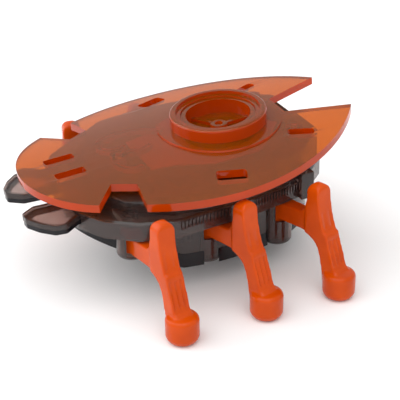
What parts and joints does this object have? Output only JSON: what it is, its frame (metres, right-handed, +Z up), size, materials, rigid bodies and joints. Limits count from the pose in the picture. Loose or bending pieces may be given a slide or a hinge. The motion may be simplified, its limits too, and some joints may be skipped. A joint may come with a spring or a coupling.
{
  "type": "six-legged walking robot",
  "caption": "Palm-size walking robot with a flat clear orange beetle-like cover, smoked body and glossy orange legs on vertical hips.",
  "frame": {"origin": "on the ground, under the centre of the whole robot's box", "axes": "+Z up from the feet, -Y is the front (the two flat lobes), +X is the robot's left side"},
  "size_m": [0.0852, 0.0884, 0.0395],
  "materials": {
    "clear_orange": "clear moulded plastic, polished",
    "leg_orange": "glossy moulded plastic",
    "smoke": "smoked clear plastic, polished",
    "dark_smoke": "very dark smoked plastic, polished",
    "natural_plastic": "natural acetal",
    "black_plastic": "moulded, fine matte",
    "brass": "machined",
    "steel": "ground pins",
    "motor_steel": "drawn and plated",
    "cell_steel": "plated steel, lightly brushed",
    "spring_metal": "plated spring strip",
    "board": "solder-masked board",
    "screw_steel": "dark zinc plate"
  },
  "bodies": {
    "chassis": {"shell_cover": "clear_orange", "socket_cup": "clear_orange", "socket_pad": "leg_orange", "upper_housing": "smoke", "lower_housing": "smoke", "bottom_cover": "dark_smoke", "battery_door": "dark_smoke", "front_pincers": "smoke", "pincer_tray": "dark_smoke", "inner_frame": "dark_smoke", "motor_can": "motor_steel", "motor_end": "black_plastic", "hip_pins": "steel", "gear_axles": "steel", "button_cells": "cell_steel", "battery_contacts": "spring_metal", "circuit_board": "board", "switch_body": "black_plastic", "housing_screws": "screw_steel", "cover_screws": "screw_steel", "door_screw": "screw_steel"},
    "leg_left_front": {"leg_left_front": "leg_orange"},
    "leg_left_middle": {"leg_left_middle": "leg_orange"},
    "leg_left_rear": {"leg_left_rear": "leg_orange"},
    "drive_plate_left": {"drive_plate_left": "natural_plastic"},
    "leg_right_front": {"leg_right_front": "leg_orange"},
    "leg_right_middle": {"leg_right_middle": "leg_orange"},
    "leg_right_rear": {"leg_right_rear": "leg_orange"},
    "drive_plate_right": {"drive_plate_right": "natural_plastic"},
    "rocker": {"rocker": "natural_plastic"},
    "crank_gear": {"crank_gear": "natural_plastic"},
    "idler_gear": {"idler_gear": "natural_plastic"},
    "motor_rotor": {"motor_shaft": "steel", "motor_pinion": "brass"},
    "switch_slider": {"switch_slider": "black_plastic"}
  },
  "joints": [
    {"name": "drive_slide_left", "type": "slide", "parent": "chassis", "child": "drive_plate_left", "axis": [0, 1, 0], "range_m": [-0.00084, 0.00084]},
    {"name": "drive_slide_right", "type": "slide", "parent": "chassis", "child": "drive_plate_right", "axis": [0, 1, 0], "range_m": [-0.00085, 0.00085]},
    {"name": "rocker_swing", "type": "hinge", "parent": "chassis", "child": "rocker", "pos_m": [0, -0.00838, 0.024], "axis": [0, 0, 1], "range_deg": [-5.1, 5.1]},
    {"name": "hip_left_front", "type": "hinge", "parent": "chassis", "child": "leg_left_front", "pos_m": [0.0175, -0.02088, 0.015], "axis": [0, 0, 1], "range_deg": [-12.1, 12.1]},
    {"name": "hip_left_middle", "type": "hinge", "parent": "chassis", "child": "leg_left_middle", "pos_m": [0.0175, -0.00103, 0.015], "axis": [0, 0, 1], "range_deg": [-12.1, 12.1]},
    {"name": "hip_left_rear", "type": "hinge", "parent": "chassis", "child": "leg_left_rear", "pos_m": [0.0175, 0.01882, 0.015], "axis": [0, 0, 1], "range_deg": [-12.1, 12.1]},
    {"name": "hip_right_front", "type": "hinge", "parent": "chassis", "child": "leg_right_front", "pos_m": [-0.0175, -0.02088, 0.015], "axis": [0, 0, 1], "range_deg": [-12.1, 12.1]},
    {"name": "hip_right_middle", "type": "hinge", "parent": "chassis", "child": "leg_right_middle", "pos_m": [-0.0175, -0.00103, 0.015], "axis": [0, 0, 1], "range_deg": [-12.1, 12.1]},
    {"name": "hip_right_rear", "type": "hinge", "parent": "chassis", "child": "leg_right_rear", "pos_m": [-0.0175, 0.01882, 0.015], "axis": [0, 0, 1], "range_deg": [-12.1, 12.1]},
    {"name": "crank_gear_spin", "type": "hinge", "parent": "chassis", "child": "crank_gear", "pos_m": [0, 0.00062, 0.025], "axis": [0, 0, 1], "continuous": true},
    {"name": "idler_gear_spin", "type": "hinge", "parent": "chassis", "child": "idler_gear", "pos_m": [0, 0.01062, 0.025], "axis": [0, 0, 1], "continuous": true},
    {"name": "motor_spin", "type": "hinge", "parent": "chassis", "child": "motor_rotor", "pos_m": [0, 0.02062, 0.02], "axis": [0, 0, 1], "continuous": true},
    {"name": "switch_slide", "type": "slide", "parent": "chassis", "child": "switch_slider", "axis": [1, 0, 0], "range_m": [0, 0.002]}
  ],
  "couplings": [
    {"joint": "drive_slide_right", "follows": "drive_slide_left", "ratio": -1},
    {"joint": "rocker_swing", "follows": "drive_slide_left", "rad_per_m": 104.17},
    {"joint": "hip_left_front", "follows": "drive_slide_left", "rad_per_m": -250},
    {"joint": "hip_left_middle", "follows": "drive_slide_left", "rad_per_m": 250},
    {"joint": "hip_left_rear", "follows": "drive_slide_left", "rad_per_m": -250},
    {"joint": "hip_right_front", "follows": "drive_slide_left", "rad_per_m": -250},
    {"joint": "hip_right_middle", "follows": "drive_slide_left", "rad_per_m": 250},
    {"joint": "hip_right_rear", "follows": "drive_slide_left", "rad_per_m": -250},
    {"joint": "idler_gear_spin", "follows": "crank_gear_spin", "ratio": -3},
    {"joint": "motor_spin", "follows": "crank_gear_spin", "ratio": 9}
  ]
}
